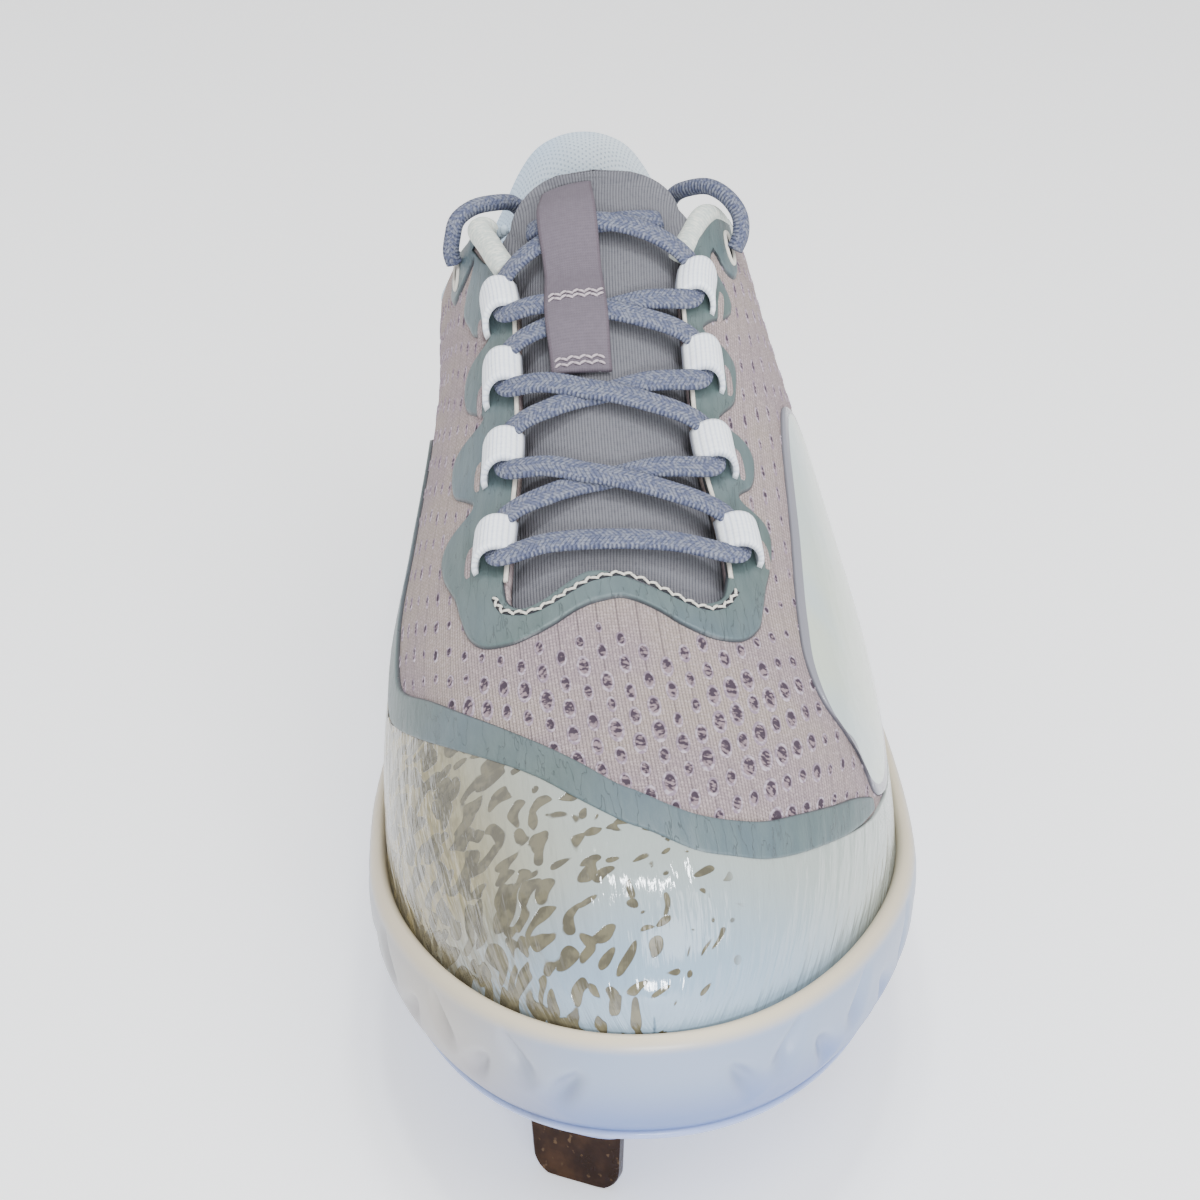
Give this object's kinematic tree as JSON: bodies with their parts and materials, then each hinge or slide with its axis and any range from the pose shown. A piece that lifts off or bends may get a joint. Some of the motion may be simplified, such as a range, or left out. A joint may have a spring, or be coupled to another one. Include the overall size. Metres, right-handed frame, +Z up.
{
  "type": "baseball cleat",
  "caption": "Low-cut left baseball cleat with a knit upper, glossy toe film, webbing lace loops, cup sole and metal spikes.",
  "frame": {"origin": "on the floor, at the bottom centre of the shoe's box: midway along and across the sole's outline", "axes": "+Z up, +Y from the toe to the heel, +X from the medial (inner) side to the lateral (outer) side of a left shoe"},
  "size_m": [0.1039, 0.298, 0.1292],
  "materials": {
    "plate": "smooth white moulded plastic",
    "cup": "smooth white moulded foam and rubber with slanted dents",
    "spike": "bronze-brown coated steel, polished at the edges",
    "knit": "ribbed mauve-grey knit with rows of oval holes",
    "lining": "white padded spacer mesh",
    "tongue": "fine grey knit with lengthwise ribs",
    "tab": "mauve-grey woven tape, stitched in two places",
    "insole": "grey woven cover over foam",
    "film": "glossy clear-coated film over grey flecks",
    "stay": "grey-green fused film, lightly wrinkled",
    "panel": "plain white fused film with a grey edge",
    "webbing": "white ribbed webbing",
    "lace": "flat grey knitted lace",
    "aglet": "clear grey plastic tip"
  },
  "bodies": {
    "root": {"outsole_plate": "plate", "midsole_cup": "cup", "spike_1": "spike", "spike_2": "spike", "spike_3": "spike", "spike_4": "spike", "spike_5": "spike", "spike_6": "spike", "spike_7": "spike", "spike_8": "spike", "spike_9": "spike", "upper": "knit", "insole": "insole", "tongue": "tongue", "collar_lining": "lining", "toe_film": "film", "vamp_band": "stay", "eyestay": "stay", "side_panel": "panel", "lace_loop_medial_1": "webbing", "lace_loop_medial_2": "webbing", "lace_loop_medial_3": "webbing", "lace_loop_medial_4": "webbing", "lace_loop_lateral_1": "webbing", "lace_loop_lateral_2": "webbing", "lace_loop_lateral_3": "webbing", "lace_loop_lateral_4": "webbing", "lace_bar": "lace", "lace_cross_1": "lace", "lace_cross_2": "lace", "lace_cross_3": "lace", "lace_cross_4": "lace", "lace_end_medial": "lace", "aglet_medial": "aglet", "lace_end_lateral": "lace", "aglet_lateral": "aglet", "tongue_tab": "tab"}
  },
  "joints": []
}
